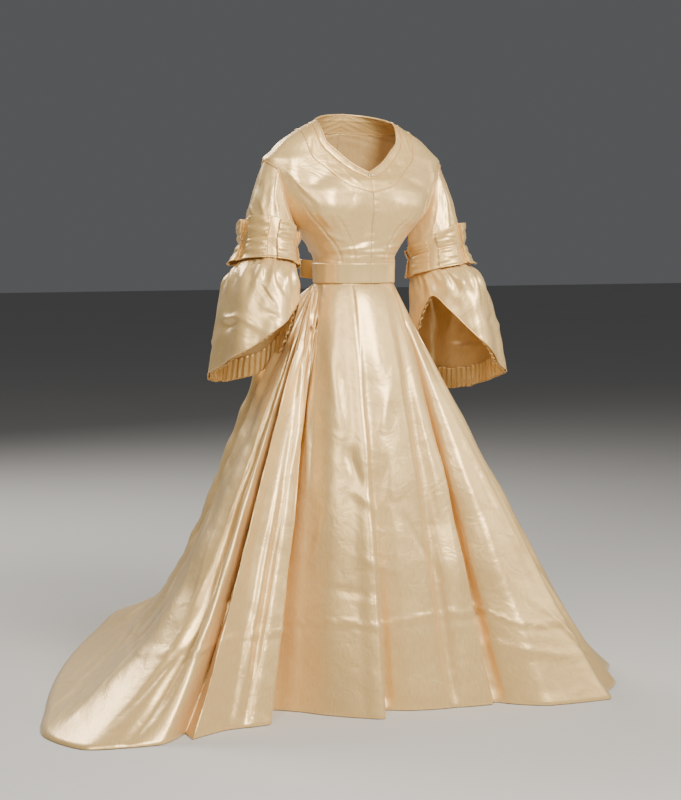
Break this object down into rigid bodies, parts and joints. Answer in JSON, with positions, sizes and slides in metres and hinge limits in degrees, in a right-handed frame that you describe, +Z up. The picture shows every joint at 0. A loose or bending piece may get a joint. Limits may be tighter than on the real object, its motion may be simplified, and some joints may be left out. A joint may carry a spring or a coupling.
{
  "type": "wedding dress",
  "caption": "Long satin wedding dress with a shallow V neck, ribbon belt with a back bow, box-pleated sleeve bands, bell flounces with an inner frill, and a gathered skirt with a train.",
  "frame": {"origin": "middle of the line between the two shoulders, 1.334 m above the hem's lowest point, where the wearer's shoulders carry the dress", "axes": "+Z up, -Y the dress's front, +Y back along the train, +X the wearer's left"},
  "size_m": [1.5696, 1.7487, 1.3761],
  "materials": {
    "satin": "ivory silk satin, glossy",
    "pleated_satin": "ivory silk satin, pressed into pleats",
    "cord": "satin-covered cord",
    "ribbon": "satin ribbon, glossy",
    "hook": "silvered, polished"
  },
  "bodies": {
    "root": {"belt_left": "ribbon", "belt_right": "ribbon", "bodice_back_left": "satin", "bodice_back_right": "satin", "bodice_front_left": "satin", "bodice_front_right": "satin", "bow_knot": "ribbon", "bow_loop_left": "ribbon", "bow_loop_right": "ribbon", "flounce_back_left": "satin", "flounce_back_right": "satin", "flounce_front_left": "satin", "flounce_front_right": "satin", "frill_back_left": "pleated_satin", "frill_back_right": "pleated_satin", "frill_front_left": "pleated_satin", "frill_front_right": "pleated_satin", "neck_band_left": "pleated_satin", "neck_band_right": "pleated_satin", "neck_clasp": "hook", "neck_piping_left": "cord", "neck_piping_right": "cord", "skirt_back_left": "satin", "skirt_back_right": "satin", "skirt_front": "satin", "skirt_side_left": "satin", "skirt_side_right": "satin", "sleeve_band_back_left": "pleated_satin", "sleeve_band_back_right": "pleated_satin", "sleeve_band_front_left": "pleated_satin", "sleeve_band_front_right": "pleated_satin", "sleeve_upper_back_left": "satin", "sleeve_upper_back_right": "satin", "sleeve_upper_front_left": "satin", "sleeve_upper_front_right": "satin"}
  },
  "joints": []
}
